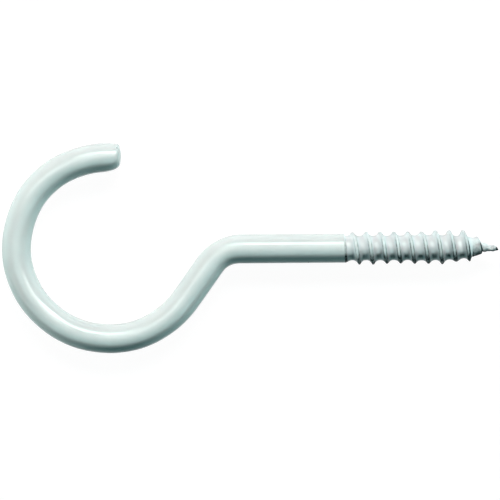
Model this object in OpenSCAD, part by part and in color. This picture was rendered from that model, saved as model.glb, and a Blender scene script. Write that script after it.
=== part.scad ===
// Screw hook: one length of painted steel wire. One end is bent into an open ring, and the
// other is rolled into a coarse wood-screw thread with a sharp point.
//
// Axes, in millimetres: +X runs along the screw towards its point. The ring lies in the XY
// plane with its mouth on the +Y side. +Z is up when the hook lies on a table.
// Origin: on the screw's axis, at the shoulder where the plain shank meets the thread.

/* [Wire] */
// Diameter of the wire over its paint
wire_d = 5.8; // [5.2:0.1:6.2]
// Radius on the edge of the cut end
end_round = 0.9; // [0.2:0.1:1.4]

/* [Ring] */
// Radius of the ring, to the middle of the wire
ring_r = 18.2; // [12:0.1:30]
// Turn of the ring, from its lowest point round to the cut end, in degrees
ring_turn = 185.5; // [100:0.5:200]
// Radius of the throat that leads down into the ring, to the middle of the wire
throat_r = 19.8; // [10:0.1:30]

/* [Leg, neck and shank] */
// Straight length between the throat and the neck
leg_l = 7.8; // [1:0.1:30]
// Radius of the neck, the bend back into line with the screw, to the middle of the wire
neck_r = 7.6; // [4:0.1:15]
// Turn of the neck, and of the throat that answers it, in degrees
neck_turn = 54.5; // [30:0.5:75]
// Plain straight length between the neck and the thread
shank_l = 21.2; // [2:0.1:80]

/* [Thread] */
// Diameter over the thread's crests
thread_d = 6.6; // [6.3:0.1:8]
// Diameter at the bottom of the thread's groove
root_d = 4.9; // [3.6:0.1:5]
// Advance of the thread in one turn
pitch = 2.78; // [2:0.01:4]
// Width of the flat along the top of the thread
crest_w = 0.3; // [0.2:0.05:0.9]
// Length of the thread, from the shoulder to the tip of the point
thread_l = 30.5; // [15:0.1:60]

/* [Point] */
// Length behind the tip over which the thread fades away
point_l = 5.5; // [4.5:0.1:9]
// Diameter over the last faint turn of the thread
point_d = 4; // [3:0.1:5]
// Length of the small cone at the very tip
nib_l = 3; // [1.5:0.1:3.5]
// Diameter of that cone at its base
nib_d = 1.7; // [1:0.1:2.4]

/* [Hidden] */

// Facets round the wire where it is shown as a mesh
$fn = 72;
// Corners round the thread, and the cross-sections in one turn of it and in all of it at most
CORNERS = 26;
SECTIONS = 15;
MOST_SECTIONS = 180;

wire_r = wire_d / 2;

// How much thinner the leg and the cut end are than the bends beside them, and how far they
// reach into those, so that the lengths overlap and do not only touch
seam = 0.005;
reach = 0.1;

// How deep the thread's core is sunk in the shank
buried = 0.6;
// Height left between the wire's surface and the thread where it leaves the shank
shoulder_step = 0.12;
// Length over which the crest rises to its full height
run_in = 0.9;
// Length over which the groove's floor and the crest fall away where the point begins
run_out = 1;
// Length over which the stub breaks away to the small cone
break_l = 0.5;
// Radius of the groove's floor in the stub, as a share of the last faint turn's
stub_share = 0.93;
// Radius of the small cone two thirds of the way along it, as a share of its base's
nib_share = 0.75;
// Radius of the blunt end of the tip, before its last facets
tip_r = 0.12;
// Position of the crest on the +Y side in the turn before the shoulder
first_crest = -1.49;
// Share of one turn's advance taken up by the flank that faces the point
lean = 0.46;
// How hollow the flanks are: 1 is straight
flank_power = 2.5;
// How closely the corners of a cross-section crowd together at the crest
crowding = 0.05;

// Radius of the groove's floor and of the crest along the screw
point_x = thread_l - point_l;
nib_x = thread_l - nib_l;
stub_r = point_d / 2 * stub_share;
nib = [
    [nib_x - break_l, stub_r],
    [nib_x, nib_d / 2],
    [thread_l - nib_l / 3, nib_d / 2 * nib_share],
    [thread_l, tip_r]];
function floor_at(x) = lookup(x, concat([
    [point_x - run_out, root_d / 2],
    [point_x, stub_r]], nib));
function crest_at(x) = lookup(x, concat([
    [0, wire_r - shoulder_step],
    [run_in, thread_d / 2],
    [point_x - run_out / 2, thread_d / 2],
    [point_x + run_out / 2, point_d / 2]], nib));

// Distance of each corner of a cross-section behind the crest, as a share of one turn's advance
function behind(k) = k / CORNERS - crowding * sin(720 * k / CORNERS);

// Height of the thread, from 1 at the crest to 0 on the groove's floor
function height(u) =
    let (land = crest_w / pitch / 2,
         t = u < 1 - lean ? (u - land) / (1 - lean - land) : (1 - u - land) / (lean - land))
    pow(1 - max(0, t), flank_power);

function thread_point(x, k) =
    let (a = 360 * ((x - first_crest) / pitch + behind(k)),
         r = floor_at(x) + (crest_at(x) - floor_at(x)) * height(behind(k)))
    [x, r * cos(a), r * sin(a)];

// The thread and its point: cross-sections that turn as they advance, skinned with facets
module thread() {
    length = thread_l + buried;
    steps = min(ceil(SECTIONS * length / pitch), MOST_SECTIONS);
    rings = [for (i = [0:steps], k = [0:CORNERS - 1])
        thread_point(-buried + length * i / steps, k)];
    sides = [for (i = [0:steps - 1], k = [0:CORNERS - 1])
        let (a = i * CORNERS + k, b = i * CORNERS + (k + 1) % CORNERS)
        each [[a, a + CORNERS, b + CORNERS], [a, b + CORNERS, b]]];
    base = [for (k = [0:CORNERS - 1]) k];
    tip = [for (k = [0:CORNERS - 1])
        [steps * CORNERS + k, len(rings), steps * CORNERS + (k + 1) % CORNERS]];
    polyhedron(concat(rings, [[thread_l + tip_r, 0, 0]]), concat([base], sides, tip));
}

// A straight length that starts at the origin and runs along +X
module straight(l, r) {
    rotate([0, 90, 0]) cylinder(h = l, r = r);
}

// A round bend that starts at the origin, heads along +X and turns towards +Y
module bend(r, turn) {
    translate([0, r, 0])
        rotate_extrude(angle = turn, start = -90)
            translate([r, 0]) circle(wire_r);
}

// Places things at the far end of such a bend
module after_bend(r, turn) {
    translate([r * sin(turn), r * (1 - cos(turn)), 0]) rotate(turn) children();
}

// The cut end, with its edge rounded over: it starts at the origin and faces +X
module cut_end() {
    r = wire_r - seam;
    rotate([0, 90, 0]) rotate_extrude() {
        translate([0, -reach]) square([r, reach]);
        square([r - end_round, end_round]);
        intersection() {
            translate([r - end_round, 0]) circle(end_round);
            square([r, end_round]);
        }
    }
}

// The whole hook, which is one piece of wire
module screw_hook() {
    color("#e6eceb") {
        thread();
        translate([-shank_l, 0, 0]) {
            straight(shank_l, wire_r);
            rotate(180) {
                bend(neck_r, neck_turn);
                after_bend(neck_r, neck_turn) {
                    translate([-reach, 0, 0]) straight(leg_l + 2 * reach, wire_r - seam);
                    translate([leg_l, 0, 0]) mirror([0, 1, 0]) after_bend(throat_r, neck_turn) {
                        mirror([1, 0, 0]) bend(throat_r, neck_turn);
                        bend(ring_r, ring_turn);
                        after_bend(ring_r, ring_turn) cut_end();
                    }
                }
            }
        }
    }
}

screw_hook();
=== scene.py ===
"""Screw hook: one bent length of steel wire in glossy white enamel, lying on a pale table.

The CAD solid gives the hook's size and place. This script models the same wire again with its
finer form: the sheared and rounded cut end, the rolled thread with its narrow land, the stub where
the thread runs out and the small ragged nib at the tip. A Geometry Nodes tree sweeps the section
along the wire and raises the thread, and a node material gives the enamel, with painted shade
mixed in dark on the thread's low side, its grooves and the shoulder, and painted fill light on the
thread.
"""

import logging
import math
from dataclasses import dataclass, field
from enum import Enum
from typing import Any, Mapping, Sequence, Union

import bpy
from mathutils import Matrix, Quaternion, Vector


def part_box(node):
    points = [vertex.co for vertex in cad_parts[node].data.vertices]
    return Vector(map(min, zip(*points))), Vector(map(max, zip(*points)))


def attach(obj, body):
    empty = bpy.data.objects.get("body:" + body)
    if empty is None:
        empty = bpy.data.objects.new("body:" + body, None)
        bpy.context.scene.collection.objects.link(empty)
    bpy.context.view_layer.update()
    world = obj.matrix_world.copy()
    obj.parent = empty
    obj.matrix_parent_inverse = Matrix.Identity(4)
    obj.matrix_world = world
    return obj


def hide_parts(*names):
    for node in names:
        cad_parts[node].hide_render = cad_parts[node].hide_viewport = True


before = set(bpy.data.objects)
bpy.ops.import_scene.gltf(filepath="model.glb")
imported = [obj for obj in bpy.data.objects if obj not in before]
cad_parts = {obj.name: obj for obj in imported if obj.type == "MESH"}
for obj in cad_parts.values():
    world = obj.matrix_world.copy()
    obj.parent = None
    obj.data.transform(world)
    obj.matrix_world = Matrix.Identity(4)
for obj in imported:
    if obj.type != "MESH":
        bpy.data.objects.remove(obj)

log = logging.getLogger("screw_hook")

MM = 0.001
TAU = 2 * math.pi
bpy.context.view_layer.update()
NODE = "screw_hook"

# The Mix node's sockets for colours, by number, because its others share their names.
MIX_FACTOR, MIX_A, MIX_B, MIX_RESULT = 0, 6, 7, 2
COMBINE = "ShaderNodeCombineXYZ"

Colour = tuple[float, float, float]
Value = Union["Socket", float, int, bool, Sequence[float]]


# ---------------------------------------------------------------------------------------------
# Node trees
# ---------------------------------------------------------------------------------------------


class Socket:
    """An output socket whose arithmetic adds Math nodes to its tree."""

    def __init__(self, nodes: "Nodes", output: bpy.types.NodeSocket) -> None:
        """Wraps one output.

        Args:
            nodes: The builder of the tree that holds the socket.
            output: The node's output socket.
        """
        self.nodes = nodes
        self.output = output

    def __add__(self, other: Value) -> "Socket":
        """Adds a value or a socket."""
        return self.nodes.math("ADD", self, other)

    def __radd__(self, other: Value) -> "Socket":
        """Adds to a value on the left."""
        return self.nodes.math("ADD", other, self)

    def __sub__(self, other: Value) -> "Socket":
        """Takes a value or a socket away."""
        return self.nodes.math("SUBTRACT", self, other)

    def __rsub__(self, other: Value) -> "Socket":
        """Takes this socket away from a value on the left."""
        return self.nodes.math("SUBTRACT", other, self)

    def __mul__(self, other: Value) -> "Socket":
        """Multiplies by a value or a socket."""
        return self.nodes.math("MULTIPLY", self, other)

    def __rmul__(self, other: Value) -> "Socket":
        """Multiplies a value on the left."""
        return self.nodes.math("MULTIPLY", other, self)

    def __truediv__(self, other: Value) -> "Socket":
        """Divides by a value or a socket."""
        return self.nodes.math("DIVIDE", self, other)

    def __rtruediv__(self, other: Value) -> "Socket":
        """Divides a value on the left."""
        return self.nodes.math("DIVIDE", other, self)

    def __pow__(self, other: Value) -> "Socket":
        """Raises to a power."""
        return self.nodes.math("POWER", self, other)

    def clamped(self) -> "Socket":
        """Held between 0 and 1."""
        return self.nodes.node("ShaderNodeClamp", {}, {"Value": self})


class Nodes:
    """Adds nodes to one tree."""

    def __init__(self, tree: bpy.types.NodeTree) -> None:
        """Starts on an empty tree.

        Args:
            tree: The shader or geometry tree to fill.
        """
        self.tree = tree

    def node(
        self,
        kind: str,
        settings: Mapping[str, Any] | None = None,
        inputs: Mapping[Union[str, int], Value] | None = None,
        output: Union[str, int] = 0,
    ) -> Socket:
        """Adds a node, sets it up and feeds it.

        Args:
            kind: The node's type, such as "ShaderNodeMath".
            settings: The node's own settings, set before its inputs.
            inputs: Values or sockets by input name or number.
            output: The name or number of the output that is wanted.

        Returns:
            The wanted output.
        """
        made = self.tree.nodes.new(kind)
        for name, value in (settings or {}).items():
            setattr(made, name, value)
        for key, value in (inputs or {}).items():
            self.feed(made.inputs[key], value)
        return Socket(self, made.outputs[output] if made.outputs else None)

    def feed(self, socket: bpy.types.NodeSocket, value: Value) -> None:
        """Links a socket to an input, or sets the input's value.

        Args:
            socket: The input.
            value: A socket to link, or a plain value.
        """
        if isinstance(value, Socket):
            self.tree.links.new(value.output, socket)
        else:
            socket.default_value = value

    def math(self, operation: str, *values: Value) -> Socket:
        """Adds a Math node.

        Args:
            operation: The node's operation, such as "ADD".
            values: One to three values or sockets.

        Returns:
            The result.
        """
        return self.node("ShaderNodeMath", {"operation": operation}, dict(enumerate(values)))

    def step(self, value: Value, low: float, high: float) -> Socket:
        """A smooth rise from 0 to 1 as a value goes from low to high.

        Args:
            value: The value that is tested.
            low: Where the rise starts.
            high: Where it ends. Below low, the step falls instead.

        Returns:
            The step, from 0 to 1.
        """
        return self.node(
            "ShaderNodeMapRange",
            {"interpolation_type": "SMOOTHSTEP"},
            {"Value": value, "From Min": low, "From Max": high},
        )

    def mix(self, factor: Value, a: Value, b: Value) -> Socket:
        """Mixes two colours.

        Args:
            factor: 0 for the first, 1 for the second.
            a: The first colour, with its alpha.
            b: The second colour, with its alpha.

        Returns:
            The mixed colour.
        """
        sockets = {MIX_FACTOR: factor, MIX_A: a, MIX_B: b}
        return self.node("ShaderNodeMix", {"data_type": "RGBA"}, sockets, MIX_RESULT)

    def noise(self, place: Value, scale: float, detail: float) -> Socket:
        """Cloudy noise that strays either side of a half.

        Args:
            place: Where it is read.
            scale: How close its clouds lie.
            detail: How fine they are broken up.

        Returns:
            The noise.
        """
        given = {"Vector": place, "Scale": scale, "Detail": detail}
        return self.node("ShaderNodeTexNoise", {}, given)

    def largest(self, first: Socket, *rest: Socket) -> Socket:
        """The largest of some sockets.

        Args:
            first: One of them.
            rest: The others.

        Returns:
            The largest.
        """
        for socket in rest:
            first = self.math("MAXIMUM", first, socket)
        return first

    def lengthen(self, vector: Socket, factor: Value) -> Socket:
        """A vector made longer by a factor."""
        given = {0: vector, "Scale": factor}
        return self.node("ShaderNodeVectorMath", {"operation": "SCALE"}, given)

    def add_up(self, first: Socket, *rest: Socket) -> Socket:
        """Adds vectors.

        Args:
            first: The first vector.
            rest: The others.

        Returns:
            Their sum.
        """
        for vector in rest:
            first = self.node("ShaderNodeVectorMath", {"operation": "ADD"}, {0: first, 1: vector})
        return first

    def light_path(self, *rays: str) -> Socket:
        """1 for any of the named kinds of ray, 0 for the rest.

        Args:
            rays: Output names of the Light Path node.

        Returns:
            The test.
        """
        return self.largest(*(self.node("ShaderNodeLightPath", output=ray) for ray in rays))


def opaque(colour: Colour) -> tuple[float, ...]:
    """A colour with full alpha."""
    return (*colour, 1.0)


def blend(x: float, points: Sequence[tuple[float, float]]) -> float:
    """A smooth curve through a few points, flat at each of them.

    Args:
        x: Where the curve is read.
        points: Pairs of x and value, in order.

    Returns:
        The curve's value.
    """
    if x <= points[0][0]:
        return points[0][1]
    for (x0, y0), (x1, y1) in zip(points, points[1:]):
        if x <= x1:
            t = (x - x0) / (x1 - x0)
            return y0 + (y1 - y0) * t * t * (3 - 2 * t)
    return points[-1][1]


def straight_between(x: float, points: Sequence[tuple[float, float]]) -> float:
    """A line drawn straight from point to point.

    Args:
        x: Where the line is read.
        points: Pairs of x and value, in order.

    Returns:
        The line's height.
    """
    if x <= points[0][0]:
        return points[0][1]
    for (x0, y0), (x1, y1) in zip(points, points[1:]):
        if x <= x1:
            return y0 + (y1 - y0) * (x - x0) / (x1 - x0)
    return points[-1][1]


# ---------------------------------------------------------------------------------------------
# The enamel
# ---------------------------------------------------------------------------------------------


@dataclass(frozen=True)
class Chip:
    """A spot where the enamel has come off. Its place and radius are in millimetres, and it is
    bare out to a share of its radius."""

    x: float
    y: float
    z: float
    radius: float
    bare: float = 0.6

    def mask(self, nodes: Nodes, place: Socket) -> Socket:
        """1 in the middle of the spot and 0 outside it.

        Args:
            nodes: The material's nodes.
            place: The surface's own coordinates.

        Returns:
            The mask.
        """
        middle = (self.x * MM, self.y * MM, self.z * MM)
        away = nodes.node(
            "ShaderNodeVectorMath", {"operation": "DISTANCE"}, {0: place, 1: middle}, "Value"
        )
        return nodes.step(away, self.radius * MM, self.bare * self.radius * MM)


@dataclass(frozen=True)
class Enamel:
    """Glossy white enamel on steel: even on the wire and worn along the thread's edges, with
    painted shade mixed in dark on the thread's low side, crest undersides, land and grooves and at
    the shoulder, and a lighter thread colour as painted fill light.

    Scales are of noise on the surface's own coordinates, which are in metres.
    """

    name: str = "white_enamel"
    colour: Colour = (0.765, 0.85, 0.83)
    # Lighter and more blue-green than the wire's colour: painted fill light on the thread, making
    # up for the light its crests keep out of the grooves and for the lamps' warmer cast there.
    thread_colour_painted_fill: Colour = (0.825, 0.93, 0.93)
    # Near-black blue-green: bare steel where the enamel is worn through, and painted shade where
    # the thread's low side, grooves and shoulder are mixed dark.
    bare_and_shade_colour: Colour = (0.006, 0.021, 0.025)
    gloss_tint: Colour = (0.5, 1.0, 1.0)
    refraction: float = 1.45
    roughness: float = 0.16
    thread_roughness: float = 0.24
    bare_and_shade_roughness: float = 0.6
    bare_and_shade_gloss: float = 0.1
    mottle: float = 0.965
    mottle_scale: float = 260.0
    mottle_detail: float = 3.0
    peel_scale: float = 900.0
    peel_strength: float = 0.05
    peel_depth: float = 0.1 * MM
    flake_scale: float = 1500.0
    flake_least: float = 0.7
    flake_spread: float = 0.6
    fine_detail: float = 2.0
    noise_range: tuple[float, float] = (0.3, 0.7)
    chips: tuple[Chip, ...] = (
        Chip(16.8, -1.75, 2.7, 0.45),
        Chip(16.5, -2.9, 1.4, 0.4),
        Chip(-45.85, 20.4, 1.8, 0.16),
        Chip(-7.6, -2.7, 0.9, 0.16),
    )

    def material(self) -> bpy.types.Material:
        """Builds the node material.

        Returns:
            The material.
        """
        paint = bpy.data.materials.new(self.name)
        paint.use_nodes = True
        paint.node_tree.nodes.clear()
        nodes = Nodes(paint.node_tree)
        place = nodes.node("ShaderNodeTexCoord", output="Object")
        screw = nodes.node("ShaderNodeAttribute", {"attribute_name": "threading"}, output="Fac")
        mottle = nodes.noise(place, self.mottle_scale, self.mottle_detail)
        tone = nodes.step(mottle, *self.noise_range)
        dull = tuple(c * self.mottle for c in self.colour)
        plain = nodes.mix(tone, opaque(self.colour), opaque(dull))
        peel = nodes.noise(place, self.peel_scale, self.fine_detail)
        bump = nodes.node(
            "ShaderNodeBump",
            {},
            {"Height": peel, "Strength": self.peel_strength, "Distance": self.peel_depth},
        )
        enamel = nodes.node(
            "ShaderNodeBsdfPrincipled",
            {},
            {
                # On the thread the enamel takes the lighter colour, which is painted fill light.
                "Base Color": nodes.mix(screw, plain, opaque(self.thread_colour_painted_fill)),
                "Roughness": self.roughness + screw * (self.thread_roughness - self.roughness),
                "IOR": self.refraction,
                "Specular Tint": opaque(self.gloss_tint),
                "Normal": bump,
            },
        )
        # The dark shader stands for bare steel and, where the mask puts it, for painted shade.
        metal = nodes.node(
            "ShaderNodeBsdfPrincipled",
            {},
            {
                "Base Color": opaque(self.bare_and_shade_colour),
                "Roughness": self.bare_and_shade_roughness,
                "Specular IOR Level": self.bare_and_shade_gloss,
                "Specular Tint": opaque(self.gloss_tint),
            },
        )
        shader = nodes.node(
            "ShaderNodeMixShader", {}, {0: self._bare_and_shaded_mix(nodes, place), 1: enamel, 2: metal}
        )
        nodes.node("ShaderNodeOutputMaterial", {}, {"Surface": shader})
        return paint

    def _bare_and_shaded_mix(self, nodes: Nodes, place: Socket) -> Socket:
        """Where the enamel gives way to the dark shader: worn-through edges and chips, and painted
        shade on the thread's low side, its land, its grooves and at the shoulder.

        Args:
            nodes: The material's nodes.
            place: The surface's own coordinates.

        Returns:
            The mix, from 0 on whole enamel to 1 on bare metal and on full painted shade.
        """
        # This attribute holds worn enamel and painted shade together.
        worn_and_shaded = nodes.node("ShaderNodeAttribute", {"attribute_name": "worn_and_shaded"}, output="Fac")
        flaked = nodes.step(
            nodes.noise(place, self.flake_scale, self.fine_detail), *self.noise_range
        )
        flaked_worn_and_shaded = worn_and_shaded * (self.flake_least + self.flake_spread * flaked)
        return nodes.largest(flaked_worn_and_shaded, *(chip.mask(nodes, place) for chip in self.chips)).clamped()


# ---------------------------------------------------------------------------------------------
# The hook
# ---------------------------------------------------------------------------------------------


class Turn(Enum):
    """The way a bend turns as the wire is followed from the shoulder to the cut end."""

    LEFT = 1
    RIGHT = -1


@dataclass
class Station:
    """One cross-section of the wire. Lengths are in millimetres and the heading is in degrees.

    Attributes:
        radius: Of the wire, or of the groove's floor.
        rise: How far the crest stands above that.
        phase: How far the thread has turned, in turns.
        threading: 1 on the screw and 0 on the plain wire.
        slant: How far its +Y side leads towards the point, as a share of its radius.
        rough: How lumpy it is.
        lines: How strong the thread's dark marks are: worn lines beside the land, and painted shade
            on the crests' undersides, the land and the grooves.
        bare: How dark its low side is painted: bare metal at the break and the nib, painted shade
            at the shoulder's step, and partly each at the stub.
        below: The side, from -1 to 1, below which that dark mark is full.
    """

    x: float
    y: float
    heading: float
    radius: float
    rise: float = 0.0
    phase: float = 0.0
    threading: float = 0.0
    slant: float = 0.0
    rough: float = 0.0
    lines: float = 0.0
    bare: float = 0.0
    below: float = 0.0


@dataclass
class Hook:
    """The bent and threaded wire. Lengths are in millimetres and turns in degrees."""

    # The wire, its bends and its cut end
    wire_r: float = 2.9
    ring_r: float = 18.2
    ring_turn: float = 188.0
    throat_r: float = 19.8
    leg_l: float = 7.8
    neck_r: float = 7.6
    neck_turn: float = 54.5
    outer_round: float = 0.5
    inner_round: float = 1.9
    worn_length: float = 4.0
    face_bulge: float = 0.25
    face_slant: float = 0.17

    # The shoulder, the thread, the stub and the nib
    root_r: float = 2.44
    pitch: float = 2.78
    land: float = 0.3
    soft_edge: float = 0.04
    # Where the dark lines beside the land lie: worn enamel, deepened on the low side by painted
    # shade.
    dark_line: float = 0.29
    # How dark the bare parts are painted on every side but +Y: bare metal with painted shade.
    faint_bare_and_shade: float = 0.3
    lean: float = 0.5
    flank_power: float = 2.5
    first_crest: float = -1.49
    shoulder_x: float = -0.22
    shoulder_step: float = 0.12
    shoulder_slant: float = -0.08
    # The side below which the shoulder's step is painted dark: painted shade.
    shoulder_shaded_below: float = -0.5
    stub_x: float = 25.2
    break_x: float = 27.2
    break_slant: float = -0.18
    break_spread: float = 0.7
    grain: float = 0.35
    grain_scale: float = 700.0
    grain_detail: float = 2.0
    grain_r: float = 2.5
    seed: float = 7.0

    # How finely it is modelled
    sides: int = 120
    crowding: float = 0.05
    shoulder_rings: tuple[float, ...] = (0.2, 0.32, 0.8, 1.4, 2.2)
    shank_steps: int = 9
    leg_steps: int = 6
    end_steps: int = 26
    bend_step: float = 3.0
    rings_per_turn: int = 30
    enamel: Enamel = field(default_factory=Enamel)

    # What the frame fixes
    crest_r: float = field(init=False)
    floor_z: float = field(init=False)
    tip_x: float = field(init=False)
    shank_l: float = field(init=False)
    crests: list[tuple[float, float]] = field(init=False)

    def __post_init__(self) -> None:
        """Takes what the frame fixes: the crest, the point and the shank's length."""
        low, high = (tuple(v / MM for v in corner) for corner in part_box(NODE))
        self.crest_r = high[2]
        self.floor_z = low[2]
        self.tip_x = high[0]
        turn = math.radians(self.neck_turn)
        bent = (self.neck_r + self.throat_r) * math.sin(turn) + self.leg_l * math.cos(turn)
        self.shank_l = -low[0] - bent - self.ring_r - self.wire_r
        self.crests = self._crest_heights()

    def _crest_heights(self) -> list[tuple[float, float]]:
        """How high each half turn of the thread stands, as it was rolled: low from the middle on,
        and past a high turn nearer the point it stands to the +Y side.

        Returns:
            Pairs of distance from the shoulder and crest radius, from the shoulder to the tip.
        """
        above = [-0.1, -0.03, -0.03, -0.03, -0.03, -0.05, 0.17, 0.17, 0.2]
        below = [0.02, 0.03, -0.13, -0.17, -0.06, -0.05, 0.05, -0.45]
        top = self.first_crest + self.pitch
        crests = [(0.0, self.wire_r - self.shoulder_step)]
        for turn, up in enumerate(above):
            crests.append((top + self.pitch * turn, self.crest_r + up))
            if turn < len(below):
                low_x = top + self.pitch * turn + self.pitch / 2
                crests.append((low_x, self.crest_r + below[turn]))
        return crests + [
            (self.stub_x - 0.3, self.crest_r - 0.4),
            (self.stub_x + 0.2, 2.1),
            (self.break_x - 0.5, 1.95),
            (self.break_x, 1.0),
            (self.tip_x, 0.0),
        ]

    def build(self) -> bpy.types.Object:
        """Models the hook, paints it and puts it on the frame.

        Returns:
            The finished piece.
        """
        guide = bpy.data.objects.new("wire_guide", self.guide_mesh())
        bpy.context.scene.collection.objects.link(guide)
        tree = self.sweep_tree()
        modifier = guide.modifiers.new("sweep", "NODES")
        modifier.node_group = tree
        values = {
            "Sides": self.sides,
            "Land": self.land / self.pitch / 2,
            "Dark line": self.dark_line / self.pitch,
            "Faint bare and shade": self.faint_bare_and_shade,
            "Floor": self.floor_z * MM,
            "Lean": self.lean,
            "Soft edge": self.soft_edge,
            "Flank power": self.flank_power,
            "Crowding": self.crowding,
            "Grain": self.grain * MM,
            "Grain scale": self.grain_scale,
            "Grain radius": self.grain_r * MM,
            "Seed": self.seed,
            "Paint": self.enamel.material(),
        }
        for item in tree.interface.items_tree:
            if item.item_type == "SOCKET" and item.name in values:
                modifier[item.identifier] = values[item.name]
        graph = bpy.context.evaluated_depsgraph_get()
        mesh = bpy.data.meshes.new_from_object(guide.evaluated_get(graph))
        guide.modifiers.remove(modifier)
        bpy.data.objects.remove(guide)
        mesh.name = "painted_wire_hook"
        hook = bpy.data.objects.new("painted_wire_hook", mesh)
        bpy.context.scene.collection.objects.link(hook)
        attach(hook, "root")
        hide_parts(NODE)
        return hook

    # The wire's middle line, from the shoulder back to the cut end

    def bent_stations(self) -> list[Station]:
        """Stations from the cut end's face up to the shoulder.

        Returns:
            The stations in order, heading towards the point.
        """
        r = self.wire_r
        line = [Station(self.shoulder_x, 0, 180, r)]
        near = 0.0
        for behind in self.shoulder_rings:
            self._straight(line, behind - near, 1)
            near = behind
        self._straight(line, self.shank_l + self.shoulder_x - near, self.shank_steps)
        self._bend(line, self.neck_r, self.neck_turn, Turn.LEFT)
        self._straight(line, self.leg_l, self.leg_steps)
        self._bend(line, self.throat_r, self.neck_turn, Turn.RIGHT)
        plain = self.ring_turn - math.degrees(self.worn_length / self.ring_r)
        self._bend(line, self.ring_r, plain, Turn.RIGHT)
        self._hand_bend(line)
        line += self._cut_end(line[-1])
        line.reverse()
        for station in line:
            station.heading -= 180
            station.phase = -self.first_crest / self.pitch
        for station in line[-1 - len(self.shoulder_rings) :]:
            station.slant = self.shoulder_slant * blend(-station.x, [(0.3, 1.0), (2.4, 0.0)])
            station.below = self.shoulder_shaded_below
        # Painted shade: the shoulder's step is painted dark on its low side.
        line[-1].bare = line[-2].bare = 1.0
        line[-1].threading = 1.0
        return line

    @staticmethod
    def _hand_bend(line: list[Station]) -> None:
        """Moves the stations a little to the side, as bending over a peg leaves them, and draws
        the wire narrower where the neck is bent tightest.

        Args:
            line: The stations from the shoulder to the cut end.
        """
        leg_aside = [(36.0, 0.0), (42.0, 0.1), (48.5, 0.18), (53.0, 0.1)]
        throat_aside = [(57.0, -0.04), (68.0, -0.09), (75.0, 0.0)]
        ring_aside = [(82.0, 0.09), (88.0, 0.03), (96.0, 0.16), (100.0, 0.12), (107.0, 0.0)]
        aside = leg_aside + throat_aside + ring_aside
        drawn = [(21.0, 0.0), (25.0, 0.1), (29.0, 0.0)]
        along = 0.0
        x, y = line[0].x, line[0].y
        for station in line:
            along += math.hypot(station.x - x, station.y - y)
            x, y = station.x, station.y
            a = math.radians(station.heading)
            shift = blend(along, aside)
            station.x -= shift * math.sin(a)
            station.y += shift * math.cos(a)
            station.radius -= blend(along, drawn)

    @staticmethod
    def _straight(line: list[Station], length: float, steps: int) -> None:
        """Runs the wire straight on.

        Args:
            line: The stations so far, to which the new ones are added.
            length: How far it runs.
            steps: How many stations it takes.
        """
        start = line[-1]
        a = math.radians(start.heading)
        for i in range(1, steps + 1):
            d = length * i / steps
            x, y = start.x + d * math.cos(a), start.y + d * math.sin(a)
            line.append(Station(x, y, start.heading, start.radius))

    def _bend(self, line: list[Station], radius: float, turn: float, way: Turn) -> None:
        """Bends the wire round an arc.

        Args:
            line: The stations so far, to which the new ones are added.
            radius: The arc's radius.
            turn: How far it turns.
            way: Which way it turns.
        """
        start = line[-1]
        steps = math.ceil(turn / self.bend_step)
        for i in range(1, steps + 1):
            line.append(self._round_arc(start, radius, turn * i / steps, way))

    @staticmethod
    def _round_arc(start: Station, radius: float, turn: float, way: Turn) -> Station:
        """A plain station further round an arc.

        Args:
            start: The station the arc starts at.
            radius: The arc's radius.
            turn: How far round it lies.
            way: Which way the arc turns.

        Returns:
            The station.
        """
        a = math.radians(start.heading)
        heading = start.heading + way.value * turn
        b = math.radians(heading)
        x = start.x + way.value * radius * (math.sin(b) - math.sin(a))
        y = start.y - way.value * radius * (math.cos(b) - math.cos(a))
        return Station(x, y, heading, start.radius)

    def _cut_end(self, last: Station) -> list[Station]:
        """The sheared end: a tight edge outside the ring, a long worn one inside it.

        Args:
            last: The station where the end's rounding starts.

        Returns:
            Stations from there to the middle of the face.
        """
        made = []
        for i in range(1, self.end_steps + 1):
            left = self.worn_length * (1 - math.sin(0.5 * math.pi * i / self.end_steps))
            inner = self.inner_round * self._drawn_in(left / self.worn_length)
            outer = self.outer_round * self._drawn_in(left / self.outer_round)
            turn = math.degrees((self.worn_length - left) / self.ring_r)
            station = self._round_arc(last, self.ring_r, turn, Turn.RIGHT)
            a = math.radians(station.heading)
            station.x -= (inner - outer) / 2 * math.sin(a)
            station.y += (inner - outer) / 2 * math.cos(a)
            station.radius -= (inner + outer) / 2
            station.slant = self.face_slant * (1 - left / self.worn_length)
            made.append(station)
        face = made[-1]
        a = math.radians(face.heading)
        for share in (0.75, 0.5, 0.25, 0.06):
            d = self.face_bulge * (1 - share * share)
            x, y = face.x + d * math.cos(a), face.y + d * math.sin(a)
            made.append(Station(x, y, face.heading, face.radius * share, slant=face.slant))
        return made

    @staticmethod
    def _drawn_in(left: float) -> float:
        """How far a rounded edge has drawn in, as a share of its depth.

        Args:
            left: The distance to the end face, as a share of the rounding's length.

        Returns:
            The share, 0 where the rounding starts and 1 at the face.
        """
        return 1 - math.sqrt(max(0.0, 1 - (1 - min(left, 1.0)) ** 2))

    # The screw, from the shoulder to the tip

    def screw_stations(self) -> list[Station]:
        """Stations from just past the shoulder to the tip.

        Returns:
            The stations in order.
        """
        start, length = self.shoulder_x, self.tip_x - self.shoulder_x
        steps = math.ceil(self.rings_per_turn * length / self.pitch)
        return [self._screw_station(start + length * i / steps) for i in range(1, steps + 1)]

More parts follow.
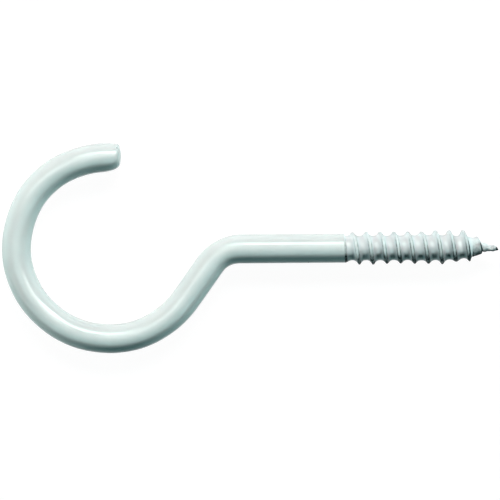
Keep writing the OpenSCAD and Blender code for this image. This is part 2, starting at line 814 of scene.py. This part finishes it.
    def _screw_station(self, x: float) -> Station:
        """One cross-section of the thread, the stub or the nib.

        Args:
            x: Its distance from the shoulder.

        Returns:
            The station.
        """
        stub, snap, tip = self.stub_x, self.break_x, self.tip_x
        slant = self.break_slant * math.exp(-(((x - snap) / self.break_spread) ** 2))
        slant += self.shoulder_slant * blend(x, [(0.0, 1.0), (1.2, 0.0)])
        floor = straight_between(x, self._floor_line())
        drift = [
            (23.5, 0.0),
            (stub, 0.1),
            (stub + 0.6, 0.0),
            (snap - 0.3, 0.1),
            (snap + 0.9, -0.03),
            (tip - 1.44, -0.2),
            (tip - 0.9, -0.13),
            (tip - 0.3, -0.3),
            (tip, -0.5),
        ]
        # How strong the thread's worn lines and painted shade are, strongest at the stub.
        lines = [
            (0.3, 0.4),
            (3.0, 0.8),
            (12.0, 1.0),
            (stub - 1.0, 1.1),
            (stub - 0.7, 3.0),
            (stub + 0.2, 3.0),
            (stub + 0.6, 0.3),
        ]
        # Bare metal at the break and the nib, painted shade at the shoulder's step, and partly each
        # along the stub's low side.
        bare = [
            (self.shoulder_x + 0.1, 1.0),
            (self.shoulder_x + 0.3, 0.0),
            (stub, 0.0),
            (stub + 0.2, 1.2),
            (snap - 0.2, 1.2),
            (snap + 0.05, 1.0),
            (snap + 0.25, 0.75),
            (tip - 0.6, 0.75),
            (tip - 0.3, 3.0),
        ]
        # How far round that dark mark reaches: the low side at the shoulder and the stub, most of
        # the way round at the break and all round the nib.
        below = [
            (1.0, self.shoulder_shaded_below),
            (stub, -0.8),
            (snap - 0.32, -0.8),
            (snap - 0.2, 0.6),
            (snap, 0.6),
            (snap + 0.16, -0.82),
            (tip - 0.5, -0.82),
            (tip - 0.35, 1.2),
        ]
        return Station(
            x=x,
            y=blend(x, drift),
            heading=0.0,
            radius=floor,
            rise=max(0.0, blend(x, self.crests) - floor),
            phase=(x - self.first_crest) / self.pitch,
            threading=1.0,
            slant=slant,
            rough=blend(x, [(0.5, 0.05), (stub, 0.06), (stub + 0.6, 0.8), (tip, 0.6)]),
            lines=blend(x, lines),
            bare=blend(x, bare),
            below=blend(x, below),
        )

    def _floor_line(self) -> list[tuple[float, float]]:
        """The groove's floor, then the stub and the nib.

        Returns:
            Pairs of distance from the shoulder and radius, from the shoulder to the tip.
        """
        stub, snap, tip = self.stub_x, self.break_x, self.tip_x
        return [
            (self.shoulder_x, self.wire_r - 0.1),
            (self.shoulder_x + 0.3, self.root_r),
            (13.0, self.root_r + 0.02),
            (15.2, self.root_r + 0.12),
            (18.0, self.root_r + 0.08),
            (20.7, self.root_r),
            (23.5, self.root_r - 0.2),
            (stub - 0.1, 1.9),
            (snap - 0.7, 1.72),
            (snap - 0.12, 1.45),
            (snap + 0.1, 0.9),
            (snap + 0.9, 0.76),
            (tip - 1.44, 0.56),
            (tip - 0.9, 0.58),
            (tip - 0.35, 0.32),
            (tip - 0.08, 0.14),
            (tip, 0.02),
        ]

    def guide_mesh(self) -> bpy.types.Mesh:
        """The wire's middle line as a chain of edges, with each station's facts as attributes.

        Returns:
            The mesh, in metres.
        """
        stations = self.bent_stations() + self.screw_stations()
        mesh = bpy.data.meshes.new("wire_guide")
        mesh.from_pydata(
            [(s.x * MM, s.y * MM, 0.0) for s in stations],
            [(i, i + 1) for i in range(len(stations) - 1)],
            [],
        )
        floats = {
            "radius_m": [s.radius * MM for s in stations],
            "rise_m": [s.rise * MM for s in stations],
        }
        for name in ("phase", "threading", "slant", "rough", "lines", "bare", "below"):
            floats[name] = [getattr(s, name) for s in stations]
        for name, values in floats.items():
            mesh.attributes.new(name, "FLOAT", "POINT").data.foreach_set("value", values)
        places = [c for s in stations for c in (s.x * MM, s.y * MM, 0.0)]
        mesh.attributes.new("centre", "FLOAT_VECTOR", "POINT").data.foreach_set("vector", places)
        sides = []
        for s in stations:
            a = math.radians(s.heading)
            sides += [-math.sin(a), math.cos(a), 0.0]
        mesh.attributes.new("side", "FLOAT_VECTOR", "POINT").data.foreach_set("vector", sides)
        return mesh

    @staticmethod
    def _tree_inputs(nodes: Nodes) -> dict[str, Socket]:
        """Names the tree's inputs and its output.

        Args:
            nodes: The tree's nodes.

        Returns:
            The inputs by name.
        """
        sockets = nodes.tree.interface
        sockets.new_socket("Geometry", in_out="OUTPUT", socket_type="NodeSocketGeometry")
        sockets.new_socket("Guide", in_out="INPUT", socket_type="NodeSocketGeometry")
        sockets.new_socket("Sides", in_out="INPUT", socket_type="NodeSocketInt")
        thread = ("Land", "Lean", "Soft edge", "Flank power", "Crowding", "Dark line", "Faint bare and shade")
        for name in thread + ("Grain", "Grain scale", "Grain radius", "Floor", "Seed"):
            sockets.new_socket(name, in_out="INPUT", socket_type="NodeSocketFloat")
        sockets.new_socket("Paint", in_out="INPUT", socket_type="NodeSocketMaterial")
        group = nodes.tree.nodes.new("NodeGroupInput")
        return {out.name: Socket(nodes, out) for out in group.outputs if out.name}

    def sweep_tree(self) -> bpy.types.GeometryNodeTree:
        """The tree that skins the wire: it sweeps a ring of corners along the middle line and
        sets each corner's distance from it by the thread's rule.

        Returns:
            The geometry tree, with its sizes as named inputs.
        """
        tree = bpy.data.node_groups.new("threaded_wire", "GeometryNodeTree")
        nodes = Nodes(tree)
        given = self._tree_inputs(nodes)

        circle = nodes.node("GeometryNodeCurvePrimitiveCircle", {}, {"Resolution": given["Sides"]})
        around = nodes.node("GeometryNodeSplineParameter", output="Factor")
        ring = self._store(nodes, circle, "around", around)
        spine = nodes.node("GeometryNodeMeshToCurve", {}, {"Mesh": given["Guide"]})
        sweep = {"Curve": spine, "Profile Curve": ring, "Fill Caps": True}
        skin = nodes.node("GeometryNodeCurveToMesh", {}, sweep)

        turn = self._read(nodes, "around")
        threading = self._read(nodes, "threading")
        behind = turn - given["Crowding"] * threading * nodes.math("SINE", turn * (2 * TAU))
        height = self._thread_height(nodes, behind, given)
        angle = (self._read(nodes, "phase") + behind) * TAU
        across = nodes.math("COSINE", angle)
        up = nodes.math("SINE", angle)

        grain_r = given["Grain radius"]
        plain = self._corner(nodes, across * grain_r, nodes.node(COMBINE, {}, {"Z": up * grain_r}))
        reach = self._read(nodes, "radius_m") + self._read(nodes, "rise_m") * height
        reach = reach + self._lumps(nodes, plain, given)
        leading = across * reach * self._read(nodes, "slant")
        lying = nodes.math("MAXIMUM", up * reach, given["Floor"])
        lift = nodes.node(COMBINE, {}, {"X": leading, "Z": lying})
        place = self._corner(nodes, across * reach, lift)
        moved = nodes.node("GeometryNodeSetPosition", {}, {"Geometry": skin, "Position": place})
        # Stores worn enamel and painted shade together as one mask.
        marked = self._store(nodes, moved, "worn_and_shaded", self._worn_and_painted_shade(nodes, behind, across, given))
        smooth = nodes.node("GeometryNodeSetShadeSmooth", {}, {"Geometry": marked})
        whole = nodes.node("GeometryNodeRealizeInstances", {}, {"Geometry": smooth})
        finish = {"Geometry": whole, "Material": given["Paint"]}
        painted = nodes.node("GeometryNodeSetMaterial", {}, finish)
        out = tree.nodes.new("NodeGroupOutput")
        nodes.feed(out.inputs["Geometry"], painted)
        return tree

    def _corner(self, nodes: Nodes, aside: Socket, lift: Socket) -> Socket:
        """A corner's place beside the middle of its cross-section.

        Args:
            nodes: The tree's nodes.
            aside: How far it lies to the wire's side.
            lift: How far it is raised and leads along the wire, as a vector.

        Returns:
            The place.
        """
        centre = self._read(nodes, "centre", "FLOAT_VECTOR")
        side = self._read(nodes, "side", "FLOAT_VECTOR")
        return nodes.add_up(centre, nodes.lengthen(side, aside), lift)

    def _lumps(self, nodes: Nodes, place: Socket, given: Mapping[str, Socket]) -> Socket:
        """How far the rough metal of the stub and the nib stands proud of its plain shape.

        Args:
            nodes: The tree's nodes.
            place: Where the noise that makes it is read.
            given: The tree's inputs.

        Returns:
            The distance.
        """
        noise = nodes.node(
            "ShaderNodeTexNoise",
            {"noise_dimensions": "4D", "normalize": False},
            {
                "Vector": place,
                "W": given["Seed"],
                "Scale": given["Grain scale"],
                "Detail": self.grain_detail,
            },
        )
        return noise * self._read(nodes, "rough") * given["Grain"]

    @staticmethod
    def _store(nodes: Nodes, geometry: Socket, name: str, value: Value) -> Socket:
        """Keeps a number on the geometry's points under a name."""
        return nodes.node(
            "GeometryNodeStoreNamedAttribute",
            {"data_type": "FLOAT", "domain": "POINT"},
            {"Geometry": geometry, "Name": name, "Value": value},
        )

    @staticmethod
    def _read(nodes: Nodes, name: str, data_type: str = "FLOAT") -> Socket:
        """Reads what is kept under a name."""
        kind = "GeometryNodeInputNamedAttribute"
        return nodes.node(kind, {"data_type": data_type}, {"Name": name})

    @staticmethod
    def _thread_height(nodes: Nodes, behind: Socket, given: Mapping[str, Socket]) -> Socket:
        """The thread's section, from 1 on its land to 0 on the groove's floor.

        Args:
            nodes: The tree's nodes.
            behind: Distance behind the crest, as a share of one turn.
            given: The tree's inputs.

        Returns:
            The height.
        """
        land, lean, soft = given["Land"], given["Lean"], given["Soft edge"]
        gentle = (behind - land) / (1 - lean - land)
        steep = (1 - behind - land) / (lean - land)
        down = nodes.math("SMOOTH_MAX", nodes.math("MINIMUM", gentle, steep), 0.0, soft)
        return nodes.math("MAXIMUM", 1 - down, 0.0) ** given["Flank power"]

    def _worn_and_painted_shade(
        self, nodes: Nodes, behind: Socket, across: Socket, given: Mapping[str, Socket]
    ) -> Socket:
        """How dark the enamel is painted: worn along both edges of the land and bare at the break
        and the nib, with painted shade strongest on the -Y side: on the crests' undersides, on the
        land to dim its highlight, low in the grooves, low down at the shoulder, and partly at the
        stub.

        Args:
            nodes: The tree's nodes.
            behind: Distance behind the crest, as a share of one turn.
            across: How far round to the +Y side the surface faces, from -1 to 1.
            given: The tree's inputs.

        Returns:
            How dark it is painted, from 0 to 1.
        """
        near = nodes.math("MINIMUM", behind, 1 - behind)
        off_line = nodes.math("ABSOLUTE", near - given["Dark line"])
        # The dark lines beside the land stand for worn enamel; their growth away from the +Y side
        # and underneath is painted shade.
        turned_away = nodes.step(across, 0.8, 0.0)
        underneath = nodes.step(across, -0.25, -0.6)
        line = nodes.step(off_line, 0.085, 0.0) * (0.15 + 0.5 * turned_away + 0.45 * underneath)
        # Painted shade: the crests' tips are painted dark on their underside.
        shaded_crest_underside = 0.9 * nodes.step(near, 0.16, 0.07) * nodes.step(across, -0.42, -0.62)
        # Painted shade: the land is painted a little dark, which dims its highlight.
        land = 0.16 * nodes.step(near, 0.11, 0.05)
        # Painted shade: dark spots low in each groove, where it turns towards -Y.
        low_side = nodes.step(nodes.math("ABSOLUTE", across + 0.66), 0.24, 0.06)
        groove = 0.7 * nodes.step(near, 0.25, 0.42) * low_side
        threaded = nodes.largest(line, shaded_crest_underside, land, groove) * self._read(nodes, "lines")
        # Bare parts are painted faintly dark on every side but +Y: painted shade over the bare
        # metal.
        bare_and_shaded_side = given["Faint bare and shade"] * nodes.step(across, 0.9, 0.3)
        lower = nodes.step(across - self._read(nodes, "below"), 0.35, -0.1)
        return nodes.largest(threaded, self._read(nodes, "bare") * nodes.largest(lower, bare_and_shaded_side))


# ---------------------------------------------------------------------------------------------
# The studio
# ---------------------------------------------------------------------------------------------


class Reach(Enum):
    """What a lamp gives: the even light on matt colour, or the streak on gloss."""

    MATT = "matt"
    GLOSS = "gloss"


@dataclass(frozen=True)
class SoftBox:
    """A soft oval lamp. Its azimuth and elevation are degrees, seen from the hook, and it is
    turned about the way to the hook by a few more. Lengths are in metres."""

    name: str
    azimuth: float
    elevation: float
    width: float
    height: float
    radiance: float
    reach: Reach
    colour: Colour
    turn: float = 0.0
    distance: float = 0.6

    def direction(self) -> Vector:
        """The way from the hook to the lamp."""
        az, el = math.radians(self.azimuth), math.radians(self.elevation)
        return Vector((math.cos(el) * math.cos(az), math.cos(el) * math.sin(az), math.sin(el)))

    def hang(self, target: Vector) -> None:
        """Adds the lamp, turned towards a point.

        Args:
            target: The point it lights.
        """
        lamp = bpy.data.lights.new(self.name, "AREA")
        lamp.shape = "ELLIPSE"
        lamp.size, lamp.size_y = self.width, self.height
        lamp.energy = self.radiance * math.pi * (math.pi / 4 * self.width * self.height)
        lamp.color = self.colour
        away = self.direction()
        holder = bpy.data.objects.new(self.name, lamp)
        holder.location = target + away * self.distance
        turned = away.to_track_quat("Z", "Y") @ Quaternion((0.0, 0.0, 1.0), math.radians(self.turn))
        holder.rotation_euler = turned.to_euler()
        holder.visible_diffuse = self.reach is Reach.MATT
        holder.visible_glossy = self.reach is Reach.GLOSS
        bpy.context.scene.collection.objects.link(holder)


@dataclass(frozen=True)
class Studio:
    """The pale floor, the lamps, the world and the camera. Lengths are in metres."""

    floor_size: float = 6.0
    floor_shade: float = 0.09
    floor_glow: float = 0.965
    frame_width: float = 100.6 * MM
    camera_height: float = 0.4
    camera_roll: float = -0.4
    view_centre: tuple[float, float] = (-19.32 * MM, -0.217 * MM)
    sensor: float = 36.0
    clip: tuple[float, float] = (0.05, 20.0)
    # A lamp's azimuth, elevation, width, height, radiance, what it gives, its colour and its turn
    lamps: tuple[SoftBox, ...] = (
        SoftBox("key", 88.0, 45.0, 0.7, 0.13, 10.1, Reach.MATT, (0.81, 0.96, 1.0)),
        SoftBox("key_low", 88.0, 37.5, 0.7, 0.13, 7.45, Reach.MATT, (1.0, 0.59, 0.55)),
        SoftBox("right_panel", 17.0, 10.0, 0.42, 0.18, 9.7, Reach.MATT, (0.71, 1.0, 0.98)),
        SoftBox("left_panel", 169.0, 10.0, 0.42, 0.18, 11.5, Reach.MATT, (0.86, 1.0, 0.97)),
        SoftBox("low_front", -90.0, 20.0, 0.7, 0.3, 0.36, Reach.MATT, (0.05, 0.95, 1.0)),
        SoftBox("gloss_key", 90.0, 50.5, 0.4, 0.2, 19.9, Reach.GLOSS, (1.0, 0.7, 0.6)),
        SoftBox("gloss_core", 57.0, 46.0, 0.16, 0.28, 39.0, Reach.GLOSS, (0.9, 0.6, 0.56)),
        SoftBox("gloss_right", 44.0, 65.0, 0.42, 0.2, 14.0, Reach.GLOSS, (1.0, 0.62, 0.58), 58.0),
        SoftBox("gloss_left", 137.0, 65.0, 0.36, 0.2, 11.5, Reach.GLOSS, (1.0, 0.68, 0.65), -58.0),
        SoftBox("gloss_front", -85.0, 57.0, 1.1, 0.45, 4.0, Reach.GLOSS, (0.85, 0.975, 0.92)),
        SoftBox("gloss_top", -90.0, 87.0, 0.9, 0.2, 6.5, Reach.GLOSS, (0.85, 0.72, 0.68)),
    )

    def build(self, floor_z: float) -> None:
        """Sets the whole studio up.

        Args:
            floor_z: The height of the floor.
        """
        self._floor(floor_z)
        self._world()
        for lamp in self.lamps:
            lamp.hang(Vector((*self.view_centre, 0.0)))
        self._camera()
        bpy.context.scene.view_settings.view_transform = "Standard"

    def _floor(self, z: float) -> None:
        """Lays the floor.

        Args:
            z: Its height.
        """
        half = self.floor_size / 2
        mesh = bpy.data.meshes.new("floor")
        corners = [(-half, -half, z), (half, -half, z), (half, half, z), (-half, half, z)]
        mesh.from_pydata(corners, [], [(0, 1, 2, 3)])
        floor = bpy.data.objects.new("floor", mesh)
        bpy.context.scene.collection.objects.link(floor)
        paper = bpy.data.materials.new("white_paper")
        paper.use_nodes = True
        paper.node_tree.nodes.clear()
        nodes = Nodes(paper.node_tree)
        seen = nodes.light_path("Is Camera Ray", "Is Glossy Ray", "Is Transmission Ray")
        matt = nodes.node("ShaderNodeBsdfDiffuse", {}, {"Color": opaque((self.floor_shade,) * 3)})
        glow = nodes.node("ShaderNodeEmission", {}, {"Strength": seen * self.floor_glow})
        shader = nodes.node("ShaderNodeAddShader", {}, {0: matt, 1: glow})
        nodes.node("ShaderNodeOutputMaterial", {}, {"Surface": shader})
        mesh.materials.append(paper)

    def _world(self) -> None:
        """Leaves the room dark beyond the floor, so the lamps alone light the hook."""
        world = bpy.data.worlds.new("room")
        world.use_nodes = True
        world.node_tree.nodes.clear()
        nodes = Nodes(world.node_tree)
        dark = nodes.node("ShaderNodeBackground", {}, {"Color": opaque((0.0, 0.0, 0.0))})
        nodes.node("ShaderNodeOutputWorld", {}, {"Surface": dark})
        bpy.context.scene.world = world

    def _camera(self) -> None:
        """Hangs the camera above the middle of the hook, square to the floor."""
        lens = bpy.data.cameras.new("camera")
        lens.sensor_width = self.sensor
        lens.lens = self.sensor * self.camera_height / self.frame_width
        lens.clip_start, lens.clip_end = self.clip
        camera = bpy.data.objects.new("camera", lens)
        camera.location = (*self.view_centre, self.camera_height)
        camera.rotation_euler = (0.0, 0.0, math.radians(self.camera_roll))
        bpy.context.scene.collection.objects.link(camera)
        bpy.context.scene.camera = camera


def main() -> None:
    """Builds the hook and the studio, and logs the hook's face count."""
    logging.basicConfig(level=logging.INFO, format="%(message)s")
    hook = Hook()
    piece = hook.build()
    log.info("%s: %d faces", piece.name, len(piece.data.polygons))
    Studio().build(hook.floor_z * MM)


if __name__ == "__main__":
    main()
